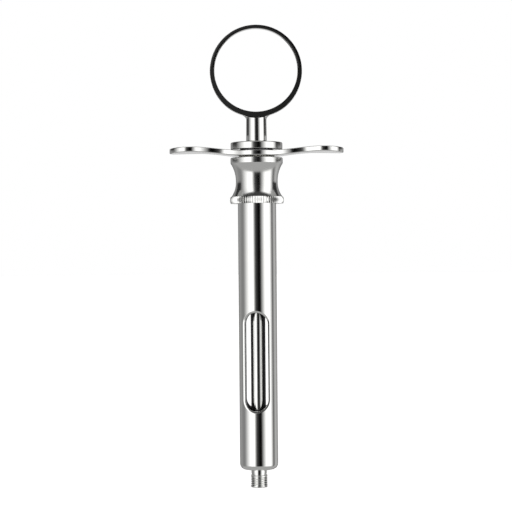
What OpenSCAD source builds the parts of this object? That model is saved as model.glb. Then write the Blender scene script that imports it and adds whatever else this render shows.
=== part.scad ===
// Aspirating dental syringe, for a 1.8 ml cartridge.
// It stands with its long axis on Z: the free end of the needle thread is at the origin and
// the thumb ring is at the top. The finger plate runs along X and the ring lies in the XZ plane.

/* [Barrel] */
// Outside diameter of the barrel
barrel_d = 12.7; // [12.2:0.1:13.4]
// Bore of the barrel, a running fit round the cartridge
bore_d = 9.4; // [9.2:0.1:9.6]
// Height of the barrel's front face above the end of the needle thread
barrel_z0 = 6; // [5:0.1:6.5]
// Height of the barrel's rear end
barrel_z1 = 105; // [104:0.5:106]
// Height of the shoulder where the rear thread starts
shoulder_z = 96.5; // [95.5:0.5:97]
// Thickness of the front wall
front_wall = 2; // [1.8:0.1:3]
// Rounding of the front corner
front_round = 1.9; // [1:0.1:2]
// Depth of the rear thread, from the barrel's outside
thread_step = 0.35; // [0.3:0.05:0.4]

/* [Windows] */
// Clear width of a window
window_w = 7.7; // [6.5:0.1:7.9]
// Height of a window's lower end
window_z0 = 25.6; // [24:0.1:30]
// Height of a window's upper end
window_z1 = 58.2; // [50:0.1:60]
// Turn of the front window from the plate's square, in degrees
window_turn = -7.5; // [-10:0.5:10]
// Turn of the back window towards the same side, in degrees
back_turn = -1; // [-10:0.5:10]

/* [Needle adaptor] */
// Diameter of the needle thread, 7/32 inch
needle_d = 5.56; // [5.4:0.01:6]
// Length of the needle thread
needle_l = 4.2; // [3.5:0.1:4.5]
// Diameter of the neck behind the thread
neck_d = 5.2; // [5:0.05:5.3]
// Diameter of the through bore
needle_bore_d = 1.5; // [1:0.1:2]
// Diameter of the flange inside the barrel
flange_d = 8.4; // [7:0.1:8.8]
// Thickness of that flange
flange_t = 1; // [0.8:0.1:1.2]

/* [Grip nut] */
// Diameter of the nut's upper band
band_d = 17.36; // [17:0.02:17.8]
// Diameter of its waist
waist_d = 13.9; // [13.8:0.05:14.4]
// Diameter over the knurled rim, at its fullest
rim_d = 17.9; // [17.6:0.05:18]
// Height of the knurled rim's lower face
nut_z0 = 94.4; // [93.8:0.1:94.8]
// Height of the rim
rim_h = 2.2; // [2.2:0.1:3]
// Height of the nut's top face
nut_z1 = 109.63; // [109.5:0.01:109.8]
// Height of the upper band
band_h = 1.87; // [1.2:0.01:2.2]
// Grooves round the knurled rim
knurl_n = 66; // [40:2:72]
// Diameter of the mouth that slides over the barrel
nut_mouth_d = 12.9; // [12.8:0.05:13]

/* [Head] */
// Diameter of the core's flange, on the barrel's rear end
core_flange_d = 12; // [11.8:0.05:12]
// Diameter of the core where the nut's lip hangs
core_neck_d = 10.2; // [10:0.05:10.2]
// Diameter of the core's spindle, through the finger plate
spindle_d = 8.4; // [8:0.05:8.5]
// Diameter of the core's skirt, in the barrel's bore
skirt_d = 9.24; // [9.1:0.02:9.28]
// Bore of the skirt
skirt_bore_d = 8.3; // [8.2:0.02:8.4]
// Height of the skirt's lower end
skirt_z0 = 80; // [79:0.5:81]
// Diameter of the top disc
disc_d = 17.22; // [16.8:0.02:17.6]
// Height of the top disc's lower face
disc_z0 = 112.4; // [112.3:0.05:112.5]
// Thickness of the top disc
disc_t = 2.3; // [2:0.1:2.3]

/* [Finger plate] */
// Length of the plate, tip to tip
plate_l = 57.9; // [54:0.1:60]
// Radius of each rounded end
lobe_r = 6.4; // [5.5:0.1:6.8]
// Radius of the round middle
hub_r = 8.84; // [8.7:0.02:9.2]
// Radius of the hollow sides between middle and ends
side_r = 13; // [12:0.5:15]
// Thickness of the plate
plate_t = 1.7; // [1.5:0.05:1.7]
// Rise of each wing at its crest
wing_rise = 1.35; // [0.8:0.05:1.8]
// Drop from the crest to the tip
tip_drop = 0.4; // [0.2:0.05:0.8]
// Distance of the crest from the axis
crest_x = 21; // [19:0.5:22]

/* [Plunger] */
// Diameter of the plunger rod
rod_d = 4.9; // [4.6:0.05:5]
// Diameter of the piston foot
foot_d = 6.2; // [5.8:0.1:6.3]
// Height of the foot's lower face with the plunger in
foot_z0 = 13.5; // [13:0.1:14]
// Length of the foot
foot_l = 4; // [3.5:0.1:4]
// Length of the harpoon below the foot
harpoon_l = 3.9; // [3:0.1:4]
// Diameter of the harpoon's stem
harpoon_d = 1.5; // [1.2:0.1:1.8]

/* [Thrust sleeve] */
// Outside diameter of the thrust sleeve
sleeve_d = 7.5; // [7.4:0.05:7.6]
// Bore of the thrust sleeve
sleeve_bore_d = 6.7; // [6.6:0.05:6.8]
// Height of the sleeve's lower face, without a cartridge
sleeve_z0 = 69.7; // [69:0.1:70.5]
// Mean diameter of the thrust spring's coils
spring_d = 6.4; // [6.2:0.1:6.6]
// Diameter of the spring's wire
wire_d = 0.7; // [0.5:0.05:0.8]
// Turns of the spring
spring_turns = 10; // [8:1:12]

/* [Thumb ring] */
// Outside diameter of the ring
ring_d = 30.7; // [30:0.1:32]
// Inside diameter of the ring
ring_bore_d = 27.9; // [27:0.1:28.2]
// Depth of the ring's band
ring_t = 2.2; // [1.8:0.1:3]
// Height of the ring's centre
ring_z = 138.5; // [138:0.05:139.5]
// Diameter of the ferrule at its lower end
ferrule_d = 6.88; // [6.6:0.02:7.2]
// Diameter of the ferrule at the ring
ferrule_top_d = 6.72; // [6.4:0.02:6.88]
// Height of the ferrule's lower face, with the plunger in
ferrule_z0 = 115; // [114.95:0.05:115.3]

/* [Hidden] */

// running clearance between a part and the part that it turns or slides in, on the radius
run = 0.08;
// clearance between parts that are fixed together, on the radius
fit = 0.02;
// overrun of a cutting solid past the face that it cuts
over = 1;
// facets of a full circle, for the preview
round_fn = 96;
// small softening of outside corners
soften = 0.15;

// chamfer at each end of the needle thread
thread_lead = 0.25;

// rear thread of the barrel, and the flange and spindle of the core inside the nut
rear_thread_d = barrel_d - 2 * thread_step;
core_flange_z1 = barrel_z1 + 2.35;
core_neck_z1 = 109.5;
lip_z0 = core_flange_z1 + 0.05;
counterbore_z0 = nut_z1 - 0.65;
spindle_z1 = disc_z0 + 1.5;
plate_washer_d = 11;
disc_chamfer = 0.4;
// room between the rod and the holes that it passes without touching, on the diameter
rod_room = 0.6;
bush_d = 6.4;
bush_z0 = barrel_z1 - 0.9;
// the rod's clearance in its bush, on the radius
bush_run = 0.05;
washer_t = 0.55;
seat_t = 0.5;
plate_z0 = core_neck_z1 + washer_t + 0.05;

// outline of the nut's waist: an arc above the narrowest part and a tighter one below it
upper_arc_r = 10.8;
upper_arc_z = 101.9;
lower_arc_r = 8;
lower_arc_z = 101.4;
waist_steps = 8;
// fall of the rim's full face from its middle to its edges
rim_fall = 0.35;

// how far the washer above the plate laps over the start of the plate's wave
wave_lap = 0.9;

// thrust sleeve and the spring behind it
sleeve_wall_t = 1.2;
retainer_t = 1.3;
collar_z0 = skirt_z0 + retainer_t + 0.05;
collar_z1 = collar_z0 + 2.25;
seat_z0 = bush_z0 - seat_t;
spring_side_n = 8;
spring_ring_n = 14;

// the rod's lower stud in the foot, and the harpoon's tail
foot_chamfer = 0.3;
stud_d = 3;
stud_l = 2;
groove_z = 119;
groove_d = 3.6;
groove_h = 1.1;
rod_z1 = 120.9;
pin_d = 1;
ferrule_bore_z1 = 121.2;
// radius of the fillets between the ferrule and the ring
fillet_r = 0.8;
// rise of the ring's bore over its outside, which leaves the band thicker at the ferrule
ring_bore_rise = 0.3;

// points along an arc round c, from angle a0 to a1
function arc(c, r, a0, a1, n) =
    [for (i = [0:n]) let (a = a0 + (a1 - a0) * i / n) c + r * [cos(a), sin(a)]];
// how far an arc of radius r, touching a vertical line at height c, has left it at height z
function arc_out(r, z, c) = r - sqrt(r * r - (z - c) * (z - c));
// rise of the finger plate at a distance x from the axis
function wing(x) =
    let (a = abs(x), start = plate_washer_d / 2 - wave_lap)
    a < start ? 0
    : a < crest_x ? wing_rise * pow(sin(90 * (a - start) / (crest_x - start)), 1.5)
    : wing_rise - tip_drop * pow((a - crest_x) / (plate_l / 2 - crest_x), 2);

// a plain tube round Z
module tube(d_out, d_in, z0, z1) {
    translate([0, 0, z0]) difference() {
        cylinder(d = d_out, h = z1 - z0, $fn = round_fn);
        translate([0, 0, -over]) cylinder(d = d_in, h = z1 - z0 + 2 * over, $fn = round_fn);
    }
}

// a round bar with a chamfer at each end, the same depth on the radius and along Z
module chamfered(d, z0, z1, c) {
    rotate_extrude($fn = round_fn) polygon([
        [0, z0], [d / 2 - c, z0], [d / 2, z0 + c],
        [d / 2, z1 - c], [d / 2 - c, z1], [0, z1]
    ]);
}

// a straight hole along Z
module hole(d, z0, z1) {
    translate([0, 0, z0]) cylinder(d = d, h = z1 - z0, $fn = round_fn);
}

module barrel_tube() {
    r = barrel_d / 2;
    color("gainsboro") difference() {
        rotate_extrude($fn = round_fn) difference() {
            union() {
                translate([0, barrel_z0 + front_round]) square([r, shoulder_z - barrel_z0 - front_round]);
                translate([0, barrel_z0]) square([r - front_round, front_round + over]);
                intersection() {
                    translate([r - front_round, barrel_z0 + front_round]) circle(r = front_round, $fn = round_fn);
                    translate([0, barrel_z0]) square([r, front_round]);
                }
                translate([0, shoulder_z - over]) square([rear_thread_d / 2, barrel_z1 - shoulder_z + over]);
            }
            translate([-over, barrel_z0 + front_wall]) square([bore_d / 2 + over, barrel_z1]);
            translate([-over, 0]) square([neck_d / 2 + fit + over, barrel_z1]);
        }
        rotate([0, 0, window_turn]) window_cut();
        rotate([0, 0, 180 - back_turn]) window_cut();
    }
}

// one obround cutter, from the axis out through the front wall
module window_cut() {
    r = window_w / 2;
    rotate([90, 0, 0]) linear_extrude(height = barrel_d) union() {
        translate([0, window_z0 + r]) circle(r = r, $fn = round_fn);
        translate([0, window_z1 - r]) circle(r = r, $fn = round_fn);
        translate([-r, window_z0 + r]) square([window_w, window_z1 - window_z0 - 2 * r]);
    }
}

module needle_adaptor() {
    wall_z1 = barrel_z0 + front_wall;
    color("silver") difference() {
        union() {
            chamfered(needle_d, 0, needle_l, thread_lead);
            hole(neck_d, needle_l - 0.1, wall_z1 + 0.1);
            hole(flange_d, wall_z1, wall_z1 + flange_t);
        }
        hole(needle_bore_d, -over, wall_z1 + flange_t + over);
    }
}

module grip_nut() {
    lower = [for (i = [0:waist_steps])
        let (z = nut_z0 + rim_h + i * (lower_arc_z - nut_z0 - rim_h) / waist_steps)
        [waist_d / 2 + arc_out(lower_arc_r, z, lower_arc_z), z]];
    upper = [for (i = [0:waist_steps])
        let (z = upper_arc_z + i * (nut_z1 - band_h - upper_arc_z) / waist_steps)
        [waist_d / 2 + arc_out(upper_arc_r, z, upper_arc_z), z]];
    rim = [for (i = [0:waist_steps])
        [rim_d / 2 - rim_fall * pow(2 * i / waist_steps - 1, 2), nut_z0 + rim_h * i / waist_steps]];
    color("lightgray") difference() {
        rotate_extrude($fn = round_fn) polygon(concat(
            [[0, nut_z0]], rim, lower, upper,
            [[band_d / 2, nut_z1 - band_h], [band_d / 2, nut_z1 - soften],
             [band_d / 2 - soften, nut_z1], [0, nut_z1]]
        ));
        hole(nut_mouth_d, nut_z0 - over, shoulder_z + 0.3);
        hole(rear_thread_d + 2 * run, nut_z0, lip_z0);
        hole(core_neck_d + 2 * run, nut_z0, nut_z1 + over);
        hole(rear_thread_d + 0.6, counterbore_z0, nut_z1 + over);
        for (i = [0:knurl_n - 1]) rotate([0, 0, i * 360 / knurl_n]) knurl_groove();
    }
}

// one straight V groove of the knurl
module knurl_groove() {
    depth = rim_fall + 0.05;
    half = 0.2;
    translate([0, 0, nut_z0 - over]) linear_extrude(height = rim_h + over) polygon([
        [rim_d / 2 - depth, 0], [rim_d / 2 + depth, -2 * half], [rim_d / 2 + depth, 2 * half]
    ]);
}

module head_core() {
    color("silver") difference() {
        union() {
            hole(skirt_d, skirt_z0, barrel_z1 + 0.1);
            hole(core_flange_d, barrel_z1, core_flange_z1);
            hole(core_neck_d, barrel_z1, core_neck_z1);
            hole(spindle_d, barrel_z1, spindle_z1);
        }
        hole(skirt_bore_d, skirt_z0 - over, bush_z0);
        hole(bush_d + 2 * fit, bush_z0 - over, spindle_z1 + over);
    }
}

module slip_washer() {
    color("white") tube(rear_thread_d, spindle_d + 2 * fit, core_neck_z1, core_neck_z1 + washer_t);
}

module plate_washer() {
    color("dimgray") tube(plate_washer_d, spindle_d + 2 * fit, disc_z0 - washer_t, disc_z0);
}

module top_disc() {
    color("lightgray") difference() {
        chamfered(disc_d, disc_z0, disc_z0 + disc_t, disc_chamfer);
        hole(spindle_d + 2 * fit, disc_z0 - over, spindle_z1);
        hole(rod_d + rod_room, disc_z0, disc_z0 + disc_t + over);
    }
}

module rod_bush() {
    color("ivory") tube(bush_d, rod_d + 2 * bush_run, bush_z0, spindle_z1);
}

module spring_seat_washer() {
    color("silver") tube(skirt_bore_d - 2 * fit, rod_d + rod_room, seat_z0, bush_z0);
}

module sleeve_retaining_ring() {
    color("silver") tube(skirt_bore_d - 2 * fit, sleeve_d + 2 * run, skirt_z0, skirt_z0 + retainer_t);
}

module thrust_sleeve() {
    color("silver") difference() {
        union() {
            hole(sleeve_d, sleeve_z0, collar_z1);
            hole(skirt_bore_d - 2 * run, collar_z0, collar_z1);
        }
        hole(sleeve_bore_d, sleeve_z0 - over, collar_z1 - sleeve_wall_t);
        hole(rod_d + 2 * run, sleeve_z0, collar_z1 + over);
    }
}

// point number k round ring number i of the spring's wire
function coil_point(i, k) =
    let (turn = 360 * i / spring_ring_n,
         side = 360 * k / spring_side_n,
         lift = (seat_z0 - collar_z1 - wire_d) * i / (spring_ring_n * spring_turns),
         r = spring_d / 2 + wire_d / 2 * cos(side))
    [r * cos(turn), r * sin(turn), collar_z1 + wire_d / 2 + lift + wire_d / 2 * sin(side)];

module thrust_spring() {
    rings = spring_ring_n * spring_turns;
    points = [for (i = [0:rings]) for (k = [0:spring_side_n - 1]) coil_point(i, k)];
    sides = [for (i = [0:rings - 1]) for (k = [0:spring_side_n - 1])
        let (next = (k + 1) % spring_side_n, a = i * spring_side_n, b = a + spring_side_n)
        [a + k, b + k, b + next, a + next]];
    start = [for (k = [0:spring_side_n - 1]) k];
    end = [for (k = [spring_side_n - 1:-1:0]) rings * spring_side_n + k];
    color("darkgray") polyhedron(points = points, faces = concat(sides, [start, end]), convexity = 10);
}

module finger_plate() {
    color("lightgray") difference() {
        intersection() {
            plate_wave();
            translate([0, 0, plate_z0 - over]) linear_extrude(height = 6) plate_outline();
        }
        hole(spindle_d + 2 * run, plate_z0 - over, disc_z0 + over);
    }
}

// the plate's side view, as thick as the plate, along all its depth
module plate_wave() {
    half = plate_l / 2 + over;
    steps = 48;
    xs = [for (i = [0:steps]) -half + 2 * half * i / steps];
    under = [for (x = xs) [x, plate_z0 + wing(x)]];
    upper = [for (i = [0:steps]) let (x = xs[steps - i]) [x, plate_z0 + plate_t + wing(x)]];
    rotate([90, 0, 0]) translate([0, 0, -lobe_r - hub_r]) linear_extrude(height = 2 * (lobe_r + hub_r))
        polygon(concat(under, upper));
}

// the plate's plan: a round middle, two round ends, and hollow sides tangent to both
module plate_outline() {
    lobe_x = plate_l / 2 - lobe_r;
    near = hub_r + side_r;
    far = lobe_r + side_r;
    side_x = (lobe_x * lobe_x + near * near - far * far) / (2 * lobe_x);
    side_y = sqrt(near * near - side_x * side_x);
    hub_a = atan2(side_y, side_x);
    lobe_a = atan2(side_y, side_x - lobe_x);
    steps = 8;
    quarter = concat(
        arc([0, 0], hub_r, 90, hub_a, steps),
        arc([side_x, side_y], side_r, 180 + hub_a, 180 + lobe_a, steps),
        arc([lobe_x, 0], lobe_r, lobe_a, 0, 2 * steps)
    );
    last = len(quarter) - 1;
    half = concat(quarter, [for (i = [last - 1:-1:0]) [quarter[i][0], -quarter[i][1]]]);
    polygon(concat(half, [for (i = [2 * last - 1:-1:1]) [-half[i][0], half[i][1]]]));
}

module plunger_rod() {
    foot_z1 = foot_z0 + foot_l;
    color("silver") {
        hole(stud_d, foot_z1 - stud_l, foot_z1 + over);
        hole(rod_d, foot_z1, groove_z - groove_h / 2);
        hole(groove_d, foot_z1, rod_z1);
        hole(rod_d, groove_z + groove_h / 2, rod_z1);
    }
}

module piston_foot() {
    foot_z1 = foot_z0 + foot_l;
    color("lightgray") difference() {
        chamfered(foot_d, foot_z0, foot_z1, foot_chamfer);
        hole(stud_d + 2 * fit, foot_z1 - stud_l, foot_z1 + over);
        hole(harpoon_d + 2 * fit, foot_z0 - over, foot_z1);
    }
}

module harpoon() {
    r = harpoon_d / 2;
    z0 = foot_z0 - harpoon_l;
    tip = 1.5;
    barb_h = 0.9;
    stem_r = r * 0.6;
    color("silver") rotate_extrude($fn = round_fn) polygon([
        [0, z0], [r, z0 + tip], [stem_r, z0 + tip],
        [r, z0 + tip + barb_h], [stem_r, z0 + tip + barb_h],
        [r, z0 + tip + 2 * barb_h], [r, foot_z0 + foot_l - stud_l], [0, foot_z0 + foot_l - stud_l]
    ]);
}

module ring_ferrule() {
    chamfer = 0.3;
    foot_r = ferrule_d / 2;
    top_r = ferrule_top_d / 2;
    ring_low = ring_z - ring_d / 2;
    top_z = ring_low + 0.4;
    color("lightgray") difference() {
        union() {
            rotate_extrude($fn = round_fn) polygon([
                [0, ferrule_z0], [foot_r - chamfer, ferrule_z0], [foot_r, ferrule_z0 + chamfer],
                [top_r, top_z - chamfer], [top_r - chamfer, top_z], [0, top_z]
            ]);
            for (s = [0, 1]) mirror([s, 0, 0]) rotate([90, 0, 0]) translate([0, 0, -ring_t / 2])
                linear_extrude(height = ring_t) ferrule_flare(top_r, ring_low);
        }
        hole(rod_d + 2 * run, ferrule_z0 - over, ferrule_bore_z1);
        translate([0, ring_d / 2, ring_z]) rotate([90, 0, 0]) cylinder(d = ring_d, h = ring_d, $fn = 2 * round_fn);
        ferrule_pin_hole(pin_d + 2 * fit);
    }
}

// side view of the weld fillet between one side of the ferrule and the ring's underside
module ferrule_flare(top_r, ring_low) {
    inside = 0.1;
    drop = 0.35;
    polygon(concat(
        [[0, ring_low - drop]],
        arc([top_r - inside + fillet_r, ring_low - drop], fillet_r, 180, 95, 6),
        [[top_r + fillet_r, ring_low + fillet_r], [0, ring_low + fillet_r]]
    ));
}

// the pin lies along X, so that it runs in the rod's groove and stops the ferrule sliding off
module ferrule_pin_hole(d) {
    pin_y = groove_d / 2 + pin_d / 2 + 0.08;
    translate([-ferrule_d, pin_y, groove_z]) rotate([0, 90, 0]) cylinder(d = d, h = 2 * ferrule_d, $fn = 32);
}

module ferrule_pin() {
    color("gray") intersection() {
        ferrule_pin_hole(pin_d);
        hole(ferrule_top_d, ferrule_z0, ferrule_bore_z1);
    }
}

module thumb_ring() {
    color("lightgray") rotate([90, 0, 0]) difference() {
        translate([0, ring_z, -ring_t / 2]) cylinder(d = ring_d, h = ring_t, $fn = 2 * round_fn);
        translate([0, ring_z + ring_bore_rise, -ring_t]) cylinder(d = ring_bore_d, h = 2 * ring_t, $fn = 2 * round_fn);
    }
}

barrel_tube();
needle_adaptor();
grip_nut();
head_core();
slip_washer();
plate_washer();
top_disc();
rod_bush();
spring_seat_washer();
thrust_spring();
sleeve_retaining_ring();
thrust_sleeve();
finger_plate();
plunger_rod();
piston_foot();
harpoon();
ring_ferrule();
ferrule_pin();
thumb_ring();
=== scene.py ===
import math

import bpy
from mathutils import Matrix, Vector


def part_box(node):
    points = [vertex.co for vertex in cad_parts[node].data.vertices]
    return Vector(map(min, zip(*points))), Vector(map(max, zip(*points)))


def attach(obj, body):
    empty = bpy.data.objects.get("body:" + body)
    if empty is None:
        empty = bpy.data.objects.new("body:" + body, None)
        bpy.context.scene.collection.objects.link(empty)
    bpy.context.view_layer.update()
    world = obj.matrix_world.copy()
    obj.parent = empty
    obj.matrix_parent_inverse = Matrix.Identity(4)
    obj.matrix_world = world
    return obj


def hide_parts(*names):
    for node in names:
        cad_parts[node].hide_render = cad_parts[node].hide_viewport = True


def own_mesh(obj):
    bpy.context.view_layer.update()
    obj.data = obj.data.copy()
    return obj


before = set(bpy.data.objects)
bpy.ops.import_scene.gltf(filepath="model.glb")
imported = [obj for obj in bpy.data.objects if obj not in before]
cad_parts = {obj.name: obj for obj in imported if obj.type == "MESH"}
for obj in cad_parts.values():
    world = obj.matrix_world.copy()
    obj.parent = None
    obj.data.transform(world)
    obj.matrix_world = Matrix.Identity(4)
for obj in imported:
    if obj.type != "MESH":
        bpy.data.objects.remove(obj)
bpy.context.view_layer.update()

bl_info = {
    "name": "Aspirating dental syringe",
    "version": (1, 0, 0),
    "blender": (4, 5, 0),
    "location": "View3D > Sidebar > Syringe",
    "description": "Models the visible pieces of an aspirating dental syringe on its frame",
    "category": "Object",
}

MM = 0.001
# Pieces of an arc that rounds one corner of a turned profile
CORNER_STEPS = 4
# Two points closer than this are one point
WELD = 1e-6
# Gap between two pieces that are pressed together, in millimetres
PRESSED = 0.02


# ---------------------------------------------------------------- sizes and colours

def length(name, millimetres, description):
    """A length that a user may change, given in millimetres and kept in metres."""
    return bpy.props.FloatProperty(
        name=name, description=description, default=millimetres * MM,
        unit="LENGTH", subtype="DISTANCE", precision=5, min=0)


def colour(name, hex_value, description):
    """A colour that a user may change, given as sRGB hex."""
    return bpy.props.FloatVectorProperty(
        name=name, description=description, default=linear(hex_value),
        subtype="COLOR", size=3, min=0, max=1)


def linear(hex_value):
    """Turns an sRGB hex colour into the linear values that shaders use."""
    channels = [int(hex_value[i:i + 2], 16) / 255 for i in (1, 3, 5)]
    return [c / 12.92 if c <= 0.04045 else ((c + 0.055) / 1.055) ** 2.4 for c in channels]


def reach(node):
    """A turned CAD node's greatest radius, lowest height and highest height, in millimetres."""
    low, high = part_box(node)
    return high.x / MM, low.z / MM, high.z / MM


class SyringeSizes(bpy.types.PropertyGroup):
    """Sizes that the frame's boxes don't give."""

    bore: length("Barrel bore", 9.4, "Diameter of the bore that the cartridge runs in")
    window_width: length("Window width", 7.7, "Clear width of each window")
    window_low: length("Window lower end", 25.6, "Height of the windows' lower end")
    window_high: length("Window upper end", 58.2, "Height of the windows' upper end")
    window_edge: length("Window edge", 0.6, "Width of the chamfer round each window")
    window_turn: bpy.props.FloatProperty(
        name="Window turn", description="Turn of the front window from the plate's square",
        default=math.radians(-7.5), unit="ROTATION", subtype="ANGLE")
    back_turn: bpy.props.FloatProperty(
        name="Back window turn", description="Turn of the back window towards the same side",
        default=math.radians(-1), unit="ROTATION", subtype="ANGLE")
    front_round: length("Front corner", 1.9, "Radius of the barrel's front corner")
    shoulder: length("Shoulder", 96.5, "Height where the barrel's rear thread starts")
    rear_pitch: length("Rear pitch", 1.0, "Pitch of the thread between barrel and grip nut")
    needle_pitch: length("Needle pitch", 0.75, "Pitch of the thread that the needle screws on")
    knurl_count: bpy.props.IntProperty(
        name="Knurl grooves", description="Grooves round the grip nut's rim", default=66, min=12)
    plate_edge: length("Plate edge", 0.32, "Radius that the finger plate's edges are buffed to")
    ring_edge: length("Ring edge", 0.05, "Radius that the thumb ring's edges are buffed to")


class SyringeColours(bpy.types.PropertyGroup):
    """Colours of the metals and plastics."""

    polished: colour("Polished steel", "#e9e9e7", "Mirror polished stainless steel")
    turned: colour("Turned steel", "#dadad8", "Stainless steel as it leaves the lathe")
    wire: colour("Spring wire", "#b9b8b4", "Drawn stainless spring wire")
    # darker than the metal really is: painted shade inside the barrel's bore and in the gap between the
    # top disc and the finger plate
    bore: colour("Reamed steel with painted shade", "#77777a", "Unpolished stainless steel inside the barrel, darkened as painted shade")
    plastic: colour("Bearing plastic", "#eceae1", "White autoclavable bearing plastic")
    floor: colour("Floor", "#fbfbfa", "Pale studio floor")


# ---------------------------------------------------------------- modelling helpers

def clear_selection():
    """Leaves nothing selected, in object mode."""
    if bpy.context.object and bpy.context.object.mode != "OBJECT":
        bpy.ops.object.mode_set(mode="OBJECT")
    bpy.ops.object.select_all(action="DESELECT")


def name_new(name):
    """Names the object that an operator has just added."""
    piece = bpy.context.object
    piece.name = piece.data.name = name
    return piece


def rounded(profile, closed):
    """Rounds the corners of a profile of (radius, height, rounding) points, all in millimetres."""
    points = []
    for i, (r, z, rounding) in enumerate(profile):
        corner = Vector((r, z))
        if not rounding or (not closed and i in (0, len(profile) - 1)):
            points.append(corner)
            continue
        back = (Vector(profile[i - 1][:2]) - corner).normalized()
        ahead = (Vector(profile[(i + 1) % len(profile)][:2]) - corner).normalized()
        half = back.angle(ahead) / 2
        middle = corner + (back + ahead).normalized() * rounding / math.sin(half)
        a = corner + back * rounding / math.tan(half) - middle
        b = corner + ahead * rounding / math.tan(half) - middle
        sweep = a.angle(b)
        for k in range(CORNER_STEPS + 1):
            t = k / CORNER_STEPS
            spoke = (a * math.sin((1 - t) * sweep) + b * math.sin(t * sweep)) / math.sin(sweep)
            points.append(middle + spoke)
    return points


def turned(name, profile, steps=96, closed=True):
    """Turns a profile about Z: a circle is extruded and resized from point to point.

    A closed profile makes a bored piece, and an open one a solid piece with a flat cap at each end.
    """
    points = [p * MM for p in rounded(profile, closed)]
    if closed:
        points.append(points[0])
    clear_selection()
    bpy.ops.mesh.primitive_circle_add(
        vertices=steps, radius=points[0].x, location=(0, 0, points[0].y))
    piece = name_new(name)
    bpy.ops.object.transform_apply(location=True, rotation=True, scale=True)
    bpy.ops.object.mode_set(mode="EDIT")
    bpy.ops.mesh.select_all(action="SELECT")
    for last, point in zip(points, points[1:]):
        bpy.ops.mesh.extrude_region_move(TRANSFORM_OT_translate={"value": (0, 0, point.y - last.y)})
        grow = point.x / last.x
        bpy.ops.transform.resize(value=(grow, grow, 1), center_override=(0, 0, point.y))
    if not closed:
        bpy.ops.mesh.edge_face_add()
        bpy.ops.mesh.select_all(action="DESELECT")
        bpy.ops.mesh.select_non_manifold()
        bpy.ops.mesh.edge_face_add()
    weld()
    return piece


def weld():
    """Merges doubled points, turns all faces outwards and leaves edit mode."""
    bpy.ops.mesh.select_all(action="SELECT")
    bpy.ops.mesh.remove_doubles(threshold=WELD)
    bpy.ops.mesh.normals_make_consistent(inside=False)
    bpy.ops.object.mode_set(mode="OBJECT")


def lofted(name, rows):
    """Lays a grid's rows through rows of points in metres. Each row closes on itself."""
    columns = len(rows[0])
    clear_selection()
    bpy.ops.mesh.primitive_grid_add(x_subdivisions=columns, y_subdivisions=len(rows) - 1, size=1)
    piece = name_new(name)
    for vertex in piece.data.vertices:
        column = round((vertex.co.x + 0.5) * columns) % columns
        row = round((vertex.co.y + 0.5) * (len(rows) - 1))
        vertex.co = rows[row][column]
    bpy.ops.object.mode_set(mode="EDIT")
    weld()
    return piece


def radius_of(vertex):
    """Distance of a vertex from the long axis."""
    return math.hypot(vertex.co.x, vertex.co.y)


def move_out(vertex, radius):
    """Moves a vertex to a radius about the long axis, at its own height."""
    grow = radius / radius_of(vertex)
    vertex.co.x *= grow
    vertex.co.y *= grow


def cut_thread(piece, low, high, radius, depth, pitch):
    """Cuts a right-hand thread in the rings of a turned piece, running out at both ends."""
    fade = 0.6 * pitch
    for vertex in piece.data.vertices:
        z = vertex.co.z
        if abs(radius_of(vertex) - radius) > 5 * WELD or not low - WELD < z < high + WELD:
            continue
        phase = z / pitch - math.atan2(vertex.co.y, vertex.co.x) / math.tau
        groove = 0.5 - 0.5 * math.cos(math.tau * phase)
        run_out = max(0, min(1, (z - low) / fade, (high - z) / fade))
        move_out(vertex, radius - depth * groove * run_out)


def thread_rings(radius, low, high, pitch):
    """Plain points for the rings that cut_thread needs, ten to a turn, in millimetres."""
    count = math.ceil((high - low) / pitch * 10)
    return [(radius, low + (high - low) * i / count, 0) for i in range(count + 1)]


def finish(piece, body, material, node, smooth=35):
    """Smooths a finished piece, gives it its material and puts it on its body."""
    clear_selection()
    piece.select_set(True)
    bpy.context.view_layer.objects.active = piece
    piece.data.materials.clear()
    piece.data.materials.append(material)
    bpy.ops.object.shade_smooth_by_angle(angle=math.radians(smooth))
    weighted = piece.modifiers.new("Weighted normals", "WEIGHTED_NORMAL")
    weighted.keep_sharp = True
    bpy.ops.object.modifier_apply(modifier=weighted.name)
    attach(piece, body)
    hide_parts(node)


# ---------------------------------------------------------------- materials

def add(tree, kind, inputs=None, **settings):
    """Adds a node with its settings, and sets or links its inputs."""
    made = tree.nodes.new(kind)
    for name, value in settings.items():
        setattr(made, name, value)
    for key, value in (inputs or {}).items():
        if isinstance(value, bpy.types.NodeSocket):
            tree.links.new(value, made.inputs[key])
        else:
            made.inputs[key].default_value = value
    return made


def new_material(name):
    """An empty node material and its tree. The tree is None when the material is already made."""
    if name in bpy.data.materials:
        return bpy.data.materials[name], None
    material = bpy.data.materials.new(name)
    material.use_nodes = True
    material.node_tree.nodes.clear()
    return material, material.node_tree


def mapped(tree, value, start, stop, low=0, high=1, interpolation="LINEAR"):
    """Goes from low to high as the value goes from start to stop."""
    return add(tree, "ShaderNodeMapRange",
               {"Value": value, "From Min": start, "From Max": stop, "To Min": low, "To Max": high},
               interpolation_type=interpolation).outputs["Result"]


def mixed(tree, share, under, over):
    """Lays a colour over another by a share."""
    return add(tree, "ShaderNodeMix", {"Factor": share, "A": under, "B": over},
               data_type="RGBA").outputs["Result"]


def streaks(tree, where, across, along, axis, detail=4):
    """Noise drawn out into streaks, so many millimetres across and along."""
    wide, long = 1 / (across * MM), 1 / (along * MM)
    scales = {"round": (long, long, wide), "lengthwise": (wide, wide, long),
              "even": (wide, wide, wide)}
    placed = add(tree, "ShaderNodeMapping", {"Vector": where, "Scale": scales[axis]})
    return add(tree, "ShaderNodeTexNoise",
               {"Vector": placed.outputs["Vector"], "Scale": 1, "Detail": detail}).outputs["Fac"]


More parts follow.
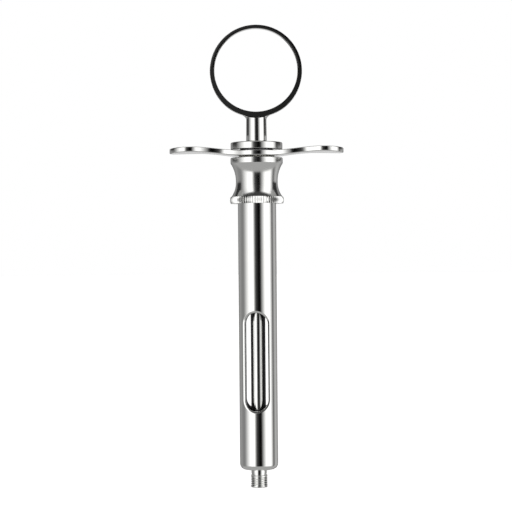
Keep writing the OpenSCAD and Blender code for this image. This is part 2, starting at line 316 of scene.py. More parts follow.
def steel(name, tint, rough, line_width, line_depth):
    """Stainless steel.

    Fine lines of its finishing show in bump, scuffs show as short streaks of duller metal, and
    handling leaves broad soft patches. Real polishing lines are about 0.01 mm wide, which is too
    fine to show, so they are drawn as wide as line_width, in millimetres.
    """
    material, tree = new_material(name)
    if tree is None:
        return material
    handled, scuff_dull, line_dull, patch_dark = 0.03, 0.08, 0.04, 0.95
    where = add(tree, "ShaderNodeTexCoord").outputs["Object"]
    fine = streaks(tree, where, line_width, 40, "round")
    scuffs = streaks(tree, where, 0.12, 6, "lengthwise", 3)
    patches = streaks(tree, where, 7, 7, "even", 3)
    scuffed = mapped(tree, scuffs, 0.66, 0.78, 0, scuff_dull)
    dulled = mapped(tree, patches, 0.35, 0.7, rough, rough + handled)
    grain = add(tree, "ShaderNodeMath", {0: fine, 1: line_dull, 2: dulled},
                operation="MULTIPLY_ADD")
    roughness = add(tree, "ShaderNodeMath", {0: grain.outputs[0], 1: scuffed}, operation="ADD")
    shade = mixed(tree, patches, (*[c * patch_dark for c in tint], 1), (*tint, 1))
    bump = add(tree, "ShaderNodeBump",
               {"Height": fine, "Strength": 0.5, "Distance": line_depth * MM})
    shader = add(tree, "ShaderNodeBsdfPrincipled",
                 {"Base Color": shade, "Metallic": 1,
                  "Roughness": roughness.outputs[0], "Normal": bump.outputs["Normal"]})
    add(tree, "ShaderNodeOutputMaterial", {"Surface": shader.outputs["BSDF"]})
    return material


def polished_stainless():
    """Stainless steel off the sisal wheel and mirror compound: crisp, with faint lines round it."""
    return steel("Stainless steel, mirror polished", bpy.context.scene.syringe_colours.polished,
                 0.07, 0.3, 0.0016)


def knurled_stainless():
    """Stainless steel, rolled knurl then polished over: the same metal, slightly duller."""
    return steel("Stainless steel, knurled and buffed", bpy.context.scene.syringe_colours.polished,
                 0.12, 0.3, 0.002)


def ground_stainless():
    """Centreless ground stainless rod: a clean shine with fine lines round it."""
    return steel("Stainless steel, centreless ground", bpy.context.scene.syringe_colours.polished,
                 0.09, 0.22, 0.002)


def turned_stainless():
    """Stainless steel off the lathe: fine feed lines that spread the shine up and down."""
    return steel("Stainless steel, turned", bpy.context.scene.syringe_colours.turned,
                 0.2, 0.2, 0.004)


def drawn_wire():
    """Drawn spring wire: greyer, with drawing lines that run round with the coils."""
    return steel("Stainless spring wire, drawn", bpy.context.scene.syringe_colours.wire,
                 0.28, 0.15, 0.003)


def shaded_reamed_bore():
    """Reamed stainless steel: dull and unpolished, and painted darker than the metal really is, as
    shade inside the barrel and in the gap between the top disc and the finger plate.
    """
    return steel("Stainless steel, reamed bore, darkened as painted shade", bpy.context.scene.syringe_colours.bore,
                 0.34, 0.25, 0.004)


def bearing_plastic():
    """White PTFE, turned: waxy and dull, with soft feed lines and a faintly uneven white."""
    material, tree = new_material("White bearing plastic, turned")
    if tree is None:
        return material
    tint = bpy.context.scene.syringe_colours.plastic
    where = add(tree, "ShaderNodeTexCoord").outputs["Object"]
    feed = streaks(tree, where, 0.2, 30, "round")
    mottle = streaks(tree, where, 1.5, 1.5, "even")
    shade = mixed(tree, mottle, (*[c * 0.9 for c in tint], 1), (*tint, 1))
    bump = add(tree, "ShaderNodeBump", {"Height": feed, "Strength": 0.6, "Distance": 0.01 * MM})
    shader = add(tree, "ShaderNodeBsdfPrincipled",
                 {"Base Color": shade, "Roughness": mapped(tree, feed, 0.3, 0.7, 0.38, 0.52),
                  "IOR": 1.38, "Normal": bump.outputs["Normal"]})
    add(tree, "ShaderNodeOutputMaterial", {"Surface": shader.outputs["BSDF"]})
    return material


# ---------------------------------------------------------------- barrel

# Points along a window's half-round end and along its straight side
END_POINTS = 36
SIDE_POINTS = 16
# Height left above and below a window before the plain barrel starts, in millimetres
WINDOW_MARGIN = 5
# Where the sheet's rows lie between its border (1) and the window's edge (0), inside and outside
INNER_ROWS = (1, 0.8, 0.6, 0.4, 0.2, 0.05)
OUTER_ROWS = (0, 0.04, 0.12, 0.25, 0.4, 0.55, 0.7, 0.85, 1)


def window_round(sizes, turn):
    """Goes round a window in the front, one stop at a time.

    A stop is (x, z) on the window's edge, (x, z) outwards, and (angle, z) on the sheet's border.
    The window's own middle is at angle 0, so the border is turned the other way to end square.
    """
    half = sizes.window_width / 2
    low, high = sizes.window_low + half, sizes.window_high - half
    border_low = sizes.window_low - WINDOW_MARGIN * MM
    border_high = sizes.window_high + WINDOW_MARGIN * MM
    quarter = math.pi / 2
    stops = []
    for side, z0, z1, b0, b1 in (
        (1, low, high, border_low, border_high),
        (-1, high, low, border_high, border_low),
    ):
        for i in range(SIDE_POINTS):
            t = i / SIDE_POINTS
            border = (side * quarter - turn, b0 + (b1 - b0) * t)
            stops.append(((side * half, z0 + (z1 - z0) * t), (side, 0), border))
        for i in range(END_POINTS):
            t = math.pi * i / END_POINTS
            out = (side * math.cos(t), side * math.sin(t))
            edge = (half * out[0], z1 + half * out[1])
            stops.append((edge, out, (side * (quarter - t) - turn, b1)))
    return stops


def window_rows(sizes, outer, bore, turn):
    """Rows of points from the bore's wall, over the window's cut face, to the outside."""
    stops = window_round(sizes, turn)

    def on_wall(radius, spread, blend):
        """A row on a round wall, blended from the window's edge (0) to the sheet's border (1)."""
        row = []
        for (x, z), (out_x, out_z), (angle, border_z) in stops:
            start = math.asin((x + spread * out_x) / radius)
            side = start + (angle - start) * blend
            height = z + spread * out_z + (border_z - z - spread * out_z) * blend
            row.append(Vector((radius * math.sin(side), -radius * math.cos(side), height)))
        return row

    def on_edge(radius, spread, sink):
        """A row spread out from the window's edge and sunk below a round wall."""
        row = []
        for (x, z), (out_x, out_z), _ in stops:
            px = x + spread * out_x
            row.append(Vector((px, -math.sqrt(radius ** 2 - px ** 2) + sink, z + spread * out_z)))
        return row

    eighth = math.pi / 8
    # rounding of the inner edge, of the chamfer's inner edge and of its outer one
    inner_edge, lip, soft = 0.12 * MM, 0.1 * MM, 0.08 * MM
    wide, slope = sizes.window_edge, 0.65
    rows = [on_wall(bore, inner_edge, t) for t in INNER_ROWS]
    rows += [on_edge(bore, inner_edge * (1 - math.cos(t)), inner_edge * (math.sin(t) - 1))
             for t in (4 * eighth, 2 * eighth, 0)]
    for k in range(5):
        spread = lip * (1 - math.cos(k * eighth))
        sink = slope * (wide - spread) + lip * (1 - math.sin(k * eighth))
        rows.append(on_edge(outer, spread, sink))
    rows += [on_edge(outer, wide - back, slope * back) for back in (wide / 2, soft)]
    rows += [on_edge(outer, wide, slope * soft / 4)]
    rows += [on_wall(outer, wide + soft, t) for t in OUTER_ROWS]
    spin = Matrix.Rotation(turn, 3, "Z")
    return [[spin @ point for point in row] for row in rows]


class SYRINGE_OT_barrel(bpy.types.Operator):
    """Model the barrel, with its two buffed windows, rounded front corner and rear thread"""

    bl_idname = "syringe.barrel"
    bl_label = "Barrel"

    def execute(self, context):
        sizes = context.scene.syringe_sizes
        outer, z0, z1 = reach("barrel_tube")
        bore = sizes.bore / 2 / MM
        front_wall, neck_hole = 2.0, 2.62
        low = sizes.window_low / MM - WINDOW_MARGIN
        high = sizes.window_high / MM + WINDOW_MARGIN
        shoulder = sizes.shoulder / MM
        thread_r, thread_depth = outer - 0.35, 0.3
        thread_low, thread_high = shoulder + 0.3, z1 - 0.4
        around = 2 * END_POINTS
        front = turned("barrel_front", [
            (outer, low, 0), (outer, (low + z0) / 2, 0), (outer, z0, sizes.front_round / MM),
            (neck_hole, z0, 0.15), (neck_hole, z0 + front_wall, 0.15),
            (bore, z0 + front_wall, 0.3), (bore, low, 0),
        ], around, closed=False)
        rear = turned("barrel_rear", [
            (bore, high, 0), (bore, z1, 0.15), (thread_r, z1, 0.2),
            *reversed(thread_rings(thread_r, thread_low, thread_high, sizes.rear_pitch / MM)),
            (thread_r, shoulder, 0), (outer, shoulder, 0.15),
            (outer, (shoulder + high) / 2, 0), (outer, high, 0),
        ], around, closed=False)
        cut_thread(rear, thread_low * MM, thread_high * MM, thread_r * MM, thread_depth * MM,
                   sizes.rear_pitch)
        rows = window_rows(sizes, outer * MM, bore * MM, sizes.window_turn)
        back_rows = [[Vector((p.x, -p.y, p.z)) for p in row]
                     for row in window_rows(sizes, outer * MM, bore * MM, sizes.back_turn)]
        windows = [lofted("barrel_window", rows), lofted("barrel_back_window", back_rows)]
        for part in (front, rear):
            self.open_ends(part)
        clear_selection()
        for part in (front, rear, *windows):
            part.select_set(True)
        context.view_layer.objects.active = front
        bpy.ops.object.join()
        piece = name_new("polished_barrel")
        bpy.ops.object.mode_set(mode="EDIT")
        weld()
        finish(piece, "barrel", polished_stainless(), "barrel_tube")
        # the bore's faces take the darker steel, which paints the shade inside the barrel
        piece.data.materials.append(shaded_reamed_bore())
        inside = (bore + 0.02) * MM
        for face in piece.data.polygons:
            if face.center.xy.length < inside and face.center.z > z0 * MM:
                face.material_index = 1
        self.true_normals(piece, outer * MM, bore * MM)
        return {"FINISHED"}

    @staticmethod
    def open_ends(part):
        """Takes away the flat caps where a turned end meets the windows' sheet."""
        clear_selection()
        bpy.context.view_layer.objects.active = part
        part.select_set(True)
        bpy.ops.object.mode_set(mode="EDIT")
        bpy.ops.mesh.select_all(action="DESELECT")
        bpy.ops.object.mode_set(mode="OBJECT")
        for face in part.data.polygons:
            face.select = len(face.vertices) > 4
        bpy.ops.object.mode_set(mode="EDIT")
        bpy.ops.mesh.delete(type="FACE")
        bpy.ops.object.mode_set(mode="OBJECT")

    @staticmethod
    def true_normals(piece, outer, bore):
        """Gives the round walls a true cylinder's normals, so that reflections run straight."""
        normals = []
        for vertex in piece.data.vertices:
            r = radius_of(vertex)
            side = 1 if abs(r - outer) < 2 * WELD else -1 if abs(r - bore) < 2 * WELD else 0
            normals.append((side * vertex.co.x / r, side * vertex.co.y / r, 0))
        piece.data.normals_split_custom_set_from_vertices(normals)


class SYRINGE_OT_needle_tip(bpy.types.Operator):
    """Model the threaded tip that the needle screws on, with its neck and inner flange"""

    bl_idname = "syringe.needle_tip"
    bl_label = "Needle tip"

    def execute(self, context):
        pitch = context.scene.syringe_sizes.needle_pitch
        flange_r, z0, z1 = reach("needle_adaptor")
        thread_r, thread_depth, neck_r, bore_r = 2.78, 0.3, 2.6, 0.75
        top, wall = 4.2, 8.0
        low, high = z0 + 0.25, top - 0.2
        chamfer_r, undercut_r = thread_r - 0.25, neck_r - 0.12
        piece = turned("threaded_tip", [
            (bore_r, z0, 0.1), (chamfer_r, z0, 0), *thread_rings(thread_r, low, high, pitch / MM),
            (undercut_r, top, 0.05), (undercut_r, top + 0.35, 0.05), (neck_r, top + 0.45, 0),
            (neck_r, wall, 0), (flange_r, wall, 0.15), (flange_r, z1, 0.15), (bore_r, z1, 0.1),
        ], 72)
        cut_thread(piece, low * MM, high * MM, thread_r * MM, thread_depth * MM, pitch)
        finish(piece, "barrel", polished_stainless(), "needle_adaptor")
        return {"FINISHED"}


# ---------------------------------------------------------------- grip nut and head

def hollow(radius, throat_z, z, arc_r):
    """Radius of the nut's waist at a height: an arc that is narrowest at the throat."""
    return radius + arc_r - math.sqrt(arc_r ** 2 - (z - throat_z) ** 2)


class SYRINGE_OT_grip_nut(bpy.types.Operator):
    """Model the grip nut: its waist, its plain upper band and its knurled rim"""

    bl_idname = "syringe.grip_nut"
    bl_label = "Grip nut"

    def execute(self, context):
        grooves = context.scene.syringe_sizes.knurl_count
        rim_r, z0, z1 = reach("grip_nut")
        waist_r, band_r, band_z = 6.95, 8.68, z1 - 1.87
        rim_h, rim_fall, rim_steps = 2.2, 0.22, 8
        # the waist is two arcs, each with the height of its throat and its radius
        lower_z, lower_r, upper_z, upper_r, steps = 101.4, 8, 101.9, 10.8, 12
        # inside: a counterbore at the top, the lip that holds the core, the thread and the mouth
        bore_r, bore_z, lip_r, lip_z = 6.3, z1 - 0.65, 5.18, 107.4
        thread_r, thread_z, mouth_r, mouth_z = 6.08, 96.8, 6.45, 96.5
        rim_top = z0 + rim_h
        rim = [(rim_r - rim_fall * (2 * i / rim_steps - 1) ** 2, z0 + rim_h * i / rim_steps, 0)
               for i in range(rim_steps + 1)]
        lower = [rim_top + (lower_z - rim_top) * i / steps for i in range(steps + 1)]
        upper = [upper_z + (band_z - upper_z) * i / steps for i in range(steps)]
        piece = turned("knurled_nut", [
            *rim, *[(hollow(waist_r, lower_z, z, lower_r), z, 0) for z in lower],
            *[(hollow(waist_r, upper_z, z, upper_r), z, 0) for z in upper],
            (band_r, band_z, 0.08), (band_r, z1, 0.35), (bore_r, z1, 0.1),
            (bore_r, bore_z, 0.05), (lip_r, bore_z, 0.1), (lip_r, lip_z, 0.1),
            (thread_r, lip_z, 0.05), (thread_r, thread_z, 0), (mouth_r, mouth_z, 0.05),
            (mouth_r, z0, 0.15),
        ], grooves * 4)
        margin = 0.01
        self.knurl(piece, grooves, (z0 - margin) * MM, (rim_top + margin) * MM,
                   rim_r * MM, rim_fall * MM)
        finish(piece, "nut", knurled_stainless(), "grip_nut")
        return {"FINISHED"}

    @staticmethod
    def knurl(piece, grooves, low, high, crest, fall):
        """Presses the rim's columns in to V grooves: root, flank, crest and flank in turn."""
        step = math.tau / (grooves * 4)
        # depth at the rim's middle, and how much less it is at the rim's ends
        deep, run_out = 0.32 * MM, 0.12 * MM
        for vertex in piece.data.vertices:
            drop = crest - radius_of(vertex)
            if not low < vertex.co.z < high or drop > fall + 2 * WELD:
                continue
            column = round(math.atan2(vertex.co.x, vertex.co.y) / step)
            share = (1, 0.5, 0, 0.5)[column % 4]
            move_out(vertex, radius_of(vertex) - share * (deep - run_out * drop / fall))


class SYRINGE_OT_head(bpy.types.Operator):
    """Model the head's turned pieces: core, washers, top disc, bush and retaining ring"""

    bl_idname = "syringe.head"
    bl_label = "Head"

    def execute(self, context):
        disc_r, disc_z0, disc_z1 = reach("top_disc")
        core_r, core_z0, core_z1 = reach("head_core")
        flange_z0, flange_z1, neck_z, neck_r, spindle_r = 105, 107.35, 109.5, 5.1, 4.2
        bush_hole, skirt_bore, seat_z, skirt_r = 3.22, 4.15, 104.1, 4.62
        core = turned("head_body", [
            (skirt_bore, core_z0, 0.1), (skirt_r, core_z0, 0.15), (skirt_r, flange_z0, 0.1),
            (core_r, flange_z0, 0.15), (core_r, flange_z1, 0.2), (neck_r, flange_z1, 0.1),
            (neck_r, neck_z, 0.1), (spindle_r, neck_z, 0.1), (spindle_r, core_z1, 0.15),
            (bush_hole, core_z1, 0.1), (bush_hole, seat_z, 0.1), (skirt_bore, seat_z, 0.1),
        ])
        finish(core, "head", turned_stainless(), "head_core")
        rod_hole, socket_r, socket_z = 2.75, spindle_r + PRESSED, disc_z1 - 0.8
        disc = turned("polished_disc", [
            (socket_r, disc_z0, 0.1), (disc_r, disc_z0, 0.15), (disc_r, disc_z1, 0.4),
            (rod_hole, disc_z1, 0.2), (rod_hole, socket_z, 0.1), (socket_r, socket_z, 0.1),
        ], 128)
        finish(disc, "head", polished_stainless(), "top_disc")
        for name, node, bore, rounding, slot, material in (
            ("white_slip_washer", "slip_washer", 4.22, 0.1, "bearing_plastic", bearing_plastic()),
            # the plate washer takes the darker steel, which paints the shade in the gap between the top
            # disc and the finger plate
            ("thin_plate_washer_in_painted_shade", "plate_washer", 4.22, 0.1, "turned_steel", shaded_reamed_bore()),
            ("white_rod_bush", "rod_bush", 2.5, 0.15, "bearing_plastic", bearing_plastic()),
            ("seat_washer", "spring_seat_washer", 2.75, 0.1, "turned_steel", turned_stainless()),
            ("retaining_ring", "sleeve_retaining_ring", 3.83, 0.08, "turned_steel", turned_stainless()),
        ):
            outer, low, high = reach(node)
            washer = turned(name, [(bore, low, rounding), (outer, low, rounding),
                                   (outer, high, rounding), (bore, high, rounding)])
            finish(washer, "head", material, node)
        return {"FINISHED"}


class SYRINGE_OT_thrust(bpy.types.Operator):
    """Model the thrust sleeve that holds the cartridge, and the spring behind it"""

    bl_idname = "syringe.thrust"
    bl_label = "Thrust sleeve and spring"

    def execute(self, context):
        collar_r, z0, z1 = reach("thrust_sleeve")
        sleeve_r, bore_r, rod_hole, collar_z0, cap_z = 3.75, 3.35, 2.53, 81.35, z1 - 1.2
        sleeve = turned("pushing_sleeve", [
            (bore_r, z0, 0.1), (sleeve_r, z0, 0.2), (sleeve_r, collar_z0, 0.1),
            (collar_r, collar_z0, 0.15), (collar_r, z1, 0.2), (rod_hole, z1, 0.2),
            (rod_hole, cap_z, 0.1), (bore_r, cap_z, 0.2),
        ])
        finish(sleeve, "thrust", turned_stainless(), "thrust_sleeve")
        self.spring()
        return {"FINISHED"}

    @staticmethod
    def spring():
        """A wire's round section, screwed up through ten turns."""
        outer, low, high = (value * MM for value in reach("thrust_spring"))
        wire_r, turns = 0.35 * MM, 10
        clear_selection()
        bpy.ops.mesh.primitive_circle_add(
            vertices=12, radius=wire_r, rotation=(math.pi / 2, 0, 0),
            location=(outer - wire_r, 0, low + wire_r))
        spring = name_new("coil_spring")
        bpy.ops.object.transform_apply(location=True, rotation=True, scale=True)
        screw = spring.modifiers.new("Coils", "SCREW")
        screw.screw_offset = (high - low - 2 * wire_r) / turns
        screw.iterations = turns
        screw.steps = screw.render_steps = 48
        screw.use_merge_vertices = False
        bpy.ops.object.modifier_apply(modifier=screw.name)
        bpy.ops.object.mode_set(mode="EDIT")
        bpy.ops.mesh.select_all(action="SELECT")
        bpy.ops.mesh.fill_holes(sides=12)
        weld()
        finish(spring, "head", drawn_wire(), "thrust_spring", smooth=60)
        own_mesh(spring)


# ---------------------------------------------------------------- finger plate

def arc(centre, radius, start, stop, count):
    """Points along an arc in the XY plane with their outward directions: (x, y, out x, out y)."""
    points = []
    for i in range(count + 1):
        a = start + (stop - start) * i / count
        points.append((centre[0] + radius * math.cos(a), centre[1] + radius * math.sin(a),
                       math.cos(a), math.sin(a)))
    return points


class SYRINGE_OT_finger_plate(bpy.types.Operator):
    """Model the winged finger plate, with its waved wings and buffed edges"""

    bl_idname = "syringe.finger_plate"
    bl_label = "Finger plate"

    hub_r, lobe_r, side_r = 8.84, 6.4, 13
    thick, hole_r = 1.7, 4.28
    rise, drop, start_x, crest_x = 1.35, 0.4, 4.6, 21

    def execute(self, context):
        edge = context.scene.syringe_sizes.plate_edge / MM
        tip_x, low, _ = reach("finger_plate")
        outline = self.outline(tip_x)
        eighth = math.pi / 8
        half = self.thick / 2
        rows = [(edge, -half, 0), (edge, -half, 0.5)]
        rows += [(edge * (1 - math.sin(k * eighth)), -half + edge * (1 - math.cos(k * eighth)), 1)
                 for k in range(5)]
        rows += [(x, -z, wide) for x, z, wide in reversed(rows)]
        points = []
        for inset, z, wide in rows:
            points.append([Vector((x - inset * ox, (y - inset * oy) * wide, low + half + z)) * MM
                           for x, y, ox, oy in outline])
        piece = lofted("waved_plate", points)
        self.bore(piece, low)
        for vertex in piece.data.vertices:
            vertex.co.z += self.wave(abs(vertex.co.x) / MM, tip_x) * MM
        finish(piece, "plate", polished_stainless(), "finger_plate", smooth=40)
        return {"FINISHED"}

    def outline(self, tip_x):
        """The plate's plan: a round middle and two round ends, joined by hollow sides."""
        lobe_x = tip_x - self.lobe_r
        near, far = self.hub_r + self.side_r, self.lobe_r + self.side_r
        side_x = (lobe_x ** 2 + near ** 2 - far ** 2) / (2 * lobe_x)
        side_y = math.sqrt(near ** 2 - side_x ** 2)
        hub_a = math.atan2(side_y, side_x)
        lobe_a = math.atan2(side_y, side_x - lobe_x)
        hub = arc((0, 0), self.hub_r, math.pi / 2, hub_a, 12)
        side = [(x, y, -ox, -oy) for x, y, ox, oy
                in arc((side_x, side_y), self.side_r, math.pi + hub_a, math.pi + lobe_a, 18)]
        lobe = arc((lobe_x, 0), self.lobe_r, lobe_a, 0, 26)
        quarter = hub[:-1] + side[:-1] + lobe
        right = quarter + [(x, -y, ox, -oy) for x, y, ox, oy in reversed(quarter[:-1])]
        return right + [(-x, y, -ox, oy) for x, y, ox, oy in reversed(right[1:-1])]

    def wave(self, x, tip_x):
        """Rise of a wing at a distance from the axis."""
        if x < self.start_x:
            return 0
        if x < self.crest_x:
            quarter = math.pi / 2 * (x - self.start_x) / (self.crest_x - self.start_x)
            return self.rise * math.sin(quarter) ** 1.5
        return self.rise - self.drop * ((x - self.crest_x) / (tip_x - self.crest_x)) ** 2

    def bore(self, piece, low):
        """Cuts the hole for the head's spindle."""
        clear_selection()
        bpy.ops.mesh.primitive_cylinder_add(
            vertices=96, radius=self.hole_r * MM, depth=4 * self.thick * MM,
            location=(0, 0, (low + self.thick / 2) * MM))
        cutter = bpy.context.object
        clear_selection()
        piece.select_set(True)
        bpy.context.view_layer.objects.active = piece
        cut = piece.modifiers.new("Spindle hole", "BOOLEAN")
        cut.operation = "DIFFERENCE"
        cut.solver = "EXACT"
        cut.object = cutter
        bpy.ops.object.modifier_apply(modifier=cut.name)
        bpy.data.objects.remove(cutter)


# ---------------------------------------------------------------- plunger and ring

class SYRINGE_OT_plunger(bpy.types.Operator):
    """Model the plunger rod, its piston foot and the barbed harpoon"""

    bl_idname = "syringe.plunger"
    bl_label = "Plunger"

    def execute(self, context):
        rod_r, stud_z, rod_top = reach("plunger_rod")
        foot_r, foot_z0, foot_z1 = reach("piston_foot")
        stem_r, tip_z, tail_z = reach("harpoon")
        stud_r, groove_r, groove_z, cap_r = 1.5, 1.8, 119, 0.5
        groove_z0, groove_z1 = groove_z - 0.55, groove_z + 0.55
        rod = turned("ground_rod", [
            (stud_r, stud_z, 0), (stud_r, foot_z1, 0), (rod_r, foot_z1, 0.2),
            *[(rod_r, foot_z1 + (groove_z0 - foot_z1) * i / 8, 0) for i in range(1, 8)],
            (rod_r, groove_z0, 0.1), (groove_r, groove_z0, 0.1), (groove_r, groove_z1, 0.1),
            (rod_r, groove_z1, 0.1), (rod_r, rod_top, 0.3), (cap_r, rod_top, 0),
        ], closed=False)
        finish(rod, "plunger", ground_stainless(), "plunger_rod")
        stem_hole, stud_hole = stem_r + PRESSED, stud_r + PRESSED
        foot = turned("rod_foot", [
            (stem_hole, foot_z0, 0.1), (foot_r, foot_z0, 0.3), (foot_r, foot_z1, 0.3),
            (stud_hole, foot_z1, 0.1), (stud_hole, stud_z, 0.1), (stem_hole, stud_z, 0.1),
        ])
        finish(foot, "plunger", turned_stainless(), "piston_foot")
        point_r, barb_r, point_h, barb_h = 0.03, stem_r * 0.6, 1.5, 0.9
        barbs = [(point_r, tip_z, 0)]
        for k in range(2):
            z = tip_z + point_h + k * barb_h
            barbs += [(stem_r, z, 0), (barb_r, z + 0.02, 0)]
        z = tip_z + point_h + 2 * barb_h
        barbs += [(stem_r, z, 0), (stem_r, tail_z, 0)]
        harpoon = turned("barbed_harpoon", barbs, 48, closed=False)
        finish(harpoon, "plunger", turned_stainless(), "harpoon", smooth=25)
        return {"FINISHED"}


class SYRINGE_OT_thumb_ring(bpy.types.Operator):
    """Model the thumb ring and the ferrule that it is welded to"""

    bl_idname = "syringe.thumb_ring"
    bl_label = "Thumb ring and ferrule"

    def execute(self, context):
        low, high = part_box("thumb_ring")
        outer = (high.x - low.x) / 2 / MM
        half_depth = (high.y - low.y) / 2 / MM
        centre_z = (high.z + low.z) / 2
        edge = context.scene.syringe_sizes.ring_edge / MM
        # the bore sits this much higher, which leaves the band thicker at the ferrule
        inner, bore_rise = 13.85, 0.3
        ring = turned("polished_ring", [
            (outer, -half_depth, edge), (outer, half_depth, edge),
            (inner, half_depth, edge), (inner, -half_depth, edge),
        ], 256)
        for vertex in ring.data.vertices:
            share = min(1, max(0, (outer - radius_of(vertex) / MM) / (outer - inner)))
            vertex.co.y -= share * bore_rise * MM
        ring.rotation_euler.x = -math.pi / 2
        ring.location.z = centre_z
        bpy.ops.object.transform_apply(location=True, rotation=True, scale=True)
        finish(ring, "ring", polished_stainless(), "thumb_ring")
        self.ferrule(outer, centre_z / MM)
        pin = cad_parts["ferrule_pin"]
        pin.data.materials.clear()
        pin.data.materials.append(turned_stainless())
        return {"FINISHED"}

    @staticmethod
    def ferrule(ring_r, ring_z):
        """A turned socket, shaped to the ring's underside, with a weld fillet at each side."""
        foot_r, top_r, z0 = 3.44, 3.36, reach("ring_ferrule")[1]
        bore_r, bore_top, cap_r = 2.53, 121.2, 0.4
        top_z = ring_z - ring_r + 0.4
        fillet_z, fillet_r = top_z - 1.2, 1.6
        # from the middle to the front or back: the ring's face, and the end of the weld fillet
        face, fillet_end, fillet_fade = 1.1, 1.5, 0.6
        # share of a quarter circle that the fillet takes up
        fillet_share = 0.98
        # past the ring's face the top steps down, then slopes
        step, slope = 0.12, 0.16
        side = [(foot_r + (top_r - foot_r) * t, z0 + (fillet_z - z0) * t, 0) for t in (0.3, 0.6, 1)]
        weld_side = [(top_r, fillet_z + (top_z - step - fillet_z) * t, 0)
                     for t in (0.3, 0.5, 0.65, 0.78, 0.9)]
        cap = [(top_r * t, top_z, 0) for t in (0.8, 0.6, 0.4, 0.2, 0.05)]
        piece = turned("socket_ferrule", [
            (cap_r, bore_top, 0), (bore_r, bore_top, 0.2), (bore_r, z0, 0.15), (foot_r, z0, 0.32),
            *side, *weld_side, (top_r, top_z, 0.1), *cap,
        ], 128, closed=False)
        for vertex in piece.data.vertices:
            x, y, z = vertex.co / MM
            climb = min(1, (z - fillet_z) / (top_z - fillet_z))
            if climb <= 0:
                continue
            under_ring = min(1, max(0, (fillet_end - abs(y)) / fillet_fade))
            arc_share = 1 - math.sqrt(1 - (climb * fillet_share) ** 2)
            flare = fillet_r * arc_share * under_ring * abs(x) / top_r
            x += math.copysign(flare, x)
            beyond = max(0, abs(y) - face)
            underside = ring_z - math.sqrt(ring_r ** 2 - x ** 2)
            z += climb * (underside - top_z - min(step, beyond) - slope * beyond)
            vertex.co = Vector((x, y, z)) * MM
        finish(piece, "ring", polished_stainless(), "ring_ferrule")


# ---------------------------------------------------------------- stage

# Brightness all round the object at its own height: (angle from the camera's side, brightness).
# A dark gap with the camera in it, a big soft box each side of it, and a dimmer room behind.
STUDIO = (
    (-180, 0.03), (-166, 0.08), (-154, 0.3), (-130, 0.36), (-116, 0.28), (-97, 0.25), (-88, 0.36),
    (-80, 0.55), (-72, 0.8), (-56, 1.25), (-45, 1.5), (-28, 1.5), (-23, 1.0), (-19, 0.5),
    (-14, 0.14), (-8, 0.045), (5, 0.004), (13, 0.002), (18, 0.04), (23, 0.3), (29, 0.52),
    (42, 1.2), (50, 1.45), (77, 1.4), (85, 0.95), (93, 0.45), (101, 0.1), (111, 0.38), (123, 0.55),
    (140, 0.42), (154, 0.3), (166, 0.08),
)
# What lies past the height limits of the soft boxes: (limit begins, limit ends, brightness), with
# the limits as sines. Floor, ceiling and ceiling light.
LIMITS = ((-0.36, -0.5, 0.44), (0.72, 0.84, 0.05), (0.975, 0.992, 0.8))
# Brightness of the walls behind, of the paper behind and of the high soft box behind
WALL_GREY, PAPER_GREY, BOX_GREY = 0.03, 0.7, 0.75


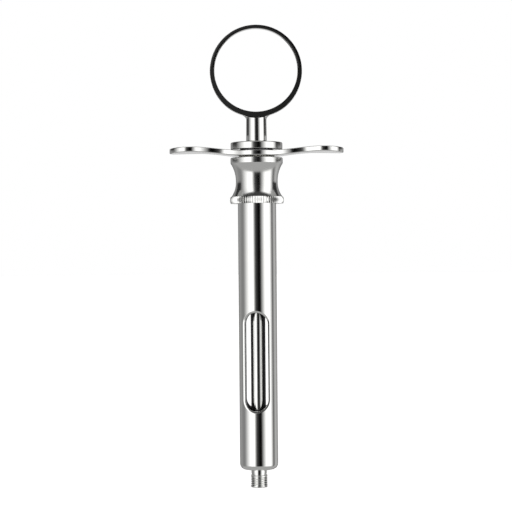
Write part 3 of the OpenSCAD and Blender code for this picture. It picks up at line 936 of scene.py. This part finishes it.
class SYRINGE_OT_stage(bpy.types.Operator):
    """Set up the pale floor, the soft studio light and the camera"""

    bl_idname = "syringe.stage"
    bl_label = "Stage"

    def execute(self, context):
        self.floor(context)
        self.light(context)
        self.camera(context)
        context.scene.view_settings.view_transform = "Standard"
        return {"FINISHED"}

    @staticmethod
    def floor(context):
        """A wide pale floor. The metal mirrors the studio's lower half in its place."""
        clear_selection()
        bpy.ops.mesh.primitive_circle_add(
            vertices=128, radius=6, fill_type="NGON", location=(0, 0, -0.2 * MM))
        floor = name_new("pale_floor")
        material, tree = new_material("Pale matt floor")
        tint = (*context.scene.syringe_colours.floor, 1)
        lift = 0.78
        matt = add(tree, "ShaderNodeBsdfDiffuse", {"Color": tint})
        glow = add(tree, "ShaderNodeEmission", {"Color": tint, "Strength": lift})
        both = add(tree, "ShaderNodeAddShader", {0: matt.outputs[0], 1: glow.outputs[0]})
        add(tree, "ShaderNodeOutputMaterial", {"Surface": both.outputs[0]})
        floor.data.materials.append(material)
        floor.visible_glossy = False

    @staticmethod
    def light(context):
        """Soft light from all round, as in a small studio, in front of white paper."""
        world = bpy.data.worlds.new("Soft studio")
        world.use_nodes = True
        context.scene.world = world
        tree = world.node_tree
        tree.nodes.clear()
        where = add(tree, "ShaderNodeTexCoord").outputs["Generated"]
        parts = add(tree, "ShaderNodeSeparateXYZ", {0: where}).outputs
        back, height = parts["Y"], parts["Z"]
        towards = add(tree, "ShaderNodeMath", {0: back, 1: -1}, operation="MULTIPLY")
        angle = add(tree, "ShaderNodeMath", {0: parts["X"], 1: towards.outputs[0]},
                    operation="ARCTAN2")
        ring = add(tree, "ShaderNodeValToRGB",
                   {"Fac": mapped(tree, angle.outputs[0], -math.pi, math.pi)})
        stops = ring.color_ramp.elements
        while len(stops) < len(STUDIO):
            stops.new(1)
        for stop, (degrees, grey) in zip(stops, STUDIO):
            stop.position = (degrees + 180) / 360
            stop.color = (grey, grey, grey, 1)

        def laid_over(glow, share, grey):
            return mixed(tree, share, glow, (grey, grey, grey, 1))

        # the walls on both sides behind are dark above a height
        beside = add(tree, "ShaderNodeMath", {0: back, 1: 0.42}, operation="SUBTRACT")
        off = add(tree, "ShaderNodeMath", {0: beside.outputs[0]}, operation="ABSOLUTE")
        walls = mapped(tree, off.outputs[0], 0.4, 0.2)
        dark = mapped(tree, height, 0.058, 0.075, 0, walls)
        glow = laid_over(ring.outputs["Color"], dark, WALL_GREY)
        # the paper behind, seen low down in faces that look at the floor
        paper = mapped(tree, back, 0.975, 0.99)
        glow = laid_over(glow, mapped(tree, height, -0.02, -0.05, 0, paper), PAPER_GREY)
        for start, stop, grey in LIMITS:
            past = mapped(tree, height, start, stop, interpolation="SMOOTHSTEP")
            glow = laid_over(glow, past, grey)
        # a soft box high up behind, for the flat faces seen from above
        facing = add(tree, "ShaderNodeVectorMath", {0: where, 1: (0, 0.5, 0.87)},
                     operation="DOT_PRODUCT")
        box = mapped(tree, facing.outputs["Value"], 0.92, 0.99, interpolation="SMOOTHSTEP")
        glow = laid_over(glow, box, BOX_GREY)
        studio = add(tree, "ShaderNodeBackground", {"Color": glow, "Strength": 1})
        white = add(tree, "ShaderNodeBackground", {"Color": (1, 1, 1, 1), "Strength": 1})
        seen = add(tree, "ShaderNodeLightPath").outputs["Is Camera Ray"]
        both = add(tree, "ShaderNodeMixShader",
                   {0: seen, 1: studio.outputs[0], 2: white.outputs[0]})
        add(tree, "ShaderNodeOutputWorld", {"Surface": both.outputs[0]})

    @staticmethod
    def camera(context):
        """A long lens, level with the middle of the syringe, leaning by about half a degree."""
        aside, away, height, lean = -0.47, 533, 76.93, 0.475
        data = bpy.data.cameras.new("Camera")
        data.lens = 112.5
        data.clip_start = 0.01
        camera = bpy.data.objects.new("Camera", data)
        context.scene.collection.objects.link(camera)
        camera.location = (aside * MM, -away * MM, height * MM)
        camera.rotation_euler = (math.pi / 2, math.radians(lean), 0)
        context.scene.camera = camera


# ---------------------------------------------------------------- panel and run

PIECES = (
    SYRINGE_OT_barrel, SYRINGE_OT_needle_tip, SYRINGE_OT_grip_nut, SYRINGE_OT_head,
    SYRINGE_OT_thrust, SYRINGE_OT_finger_plate, SYRINGE_OT_plunger, SYRINGE_OT_thumb_ring,
    SYRINGE_OT_stage,
)


class SYRINGE_PT_panel(bpy.types.Panel):
    """Lists the syringe's pieces in the sidebar"""

    bl_idname = "SYRINGE_PT_panel"
    bl_label = "Dental syringe"
    bl_space_type = "VIEW_3D"
    bl_region_type = "UI"
    bl_category = "Syringe"

    def draw(self, context):
        for group in (context.scene.syringe_sizes, context.scene.syringe_colours):
            box = self.layout.box()
            for name in group.__annotations__:
                box.prop(group, name)
        for piece in PIECES:
            self.layout.operator(piece.bl_idname)


CLASSES = (SyringeSizes, SyringeColours, *PIECES, SYRINGE_PT_panel)


def register():
    for cls in CLASSES:
        bpy.utils.register_class(cls)
    bpy.types.Scene.syringe_sizes = bpy.props.PointerProperty(type=SyringeSizes)
    bpy.types.Scene.syringe_colours = bpy.props.PointerProperty(type=SyringeColours)


def unregister():
    del bpy.types.Scene.syringe_colours
    del bpy.types.Scene.syringe_sizes
    for cls in reversed(CLASSES):
        bpy.utils.unregister_class(cls)


def main():
    register()
    for piece in PIECES:
        group, name = piece.bl_idname.split(".")
        getattr(getattr(bpy.ops, group), name)()


if __name__ == "__main__":
    main()
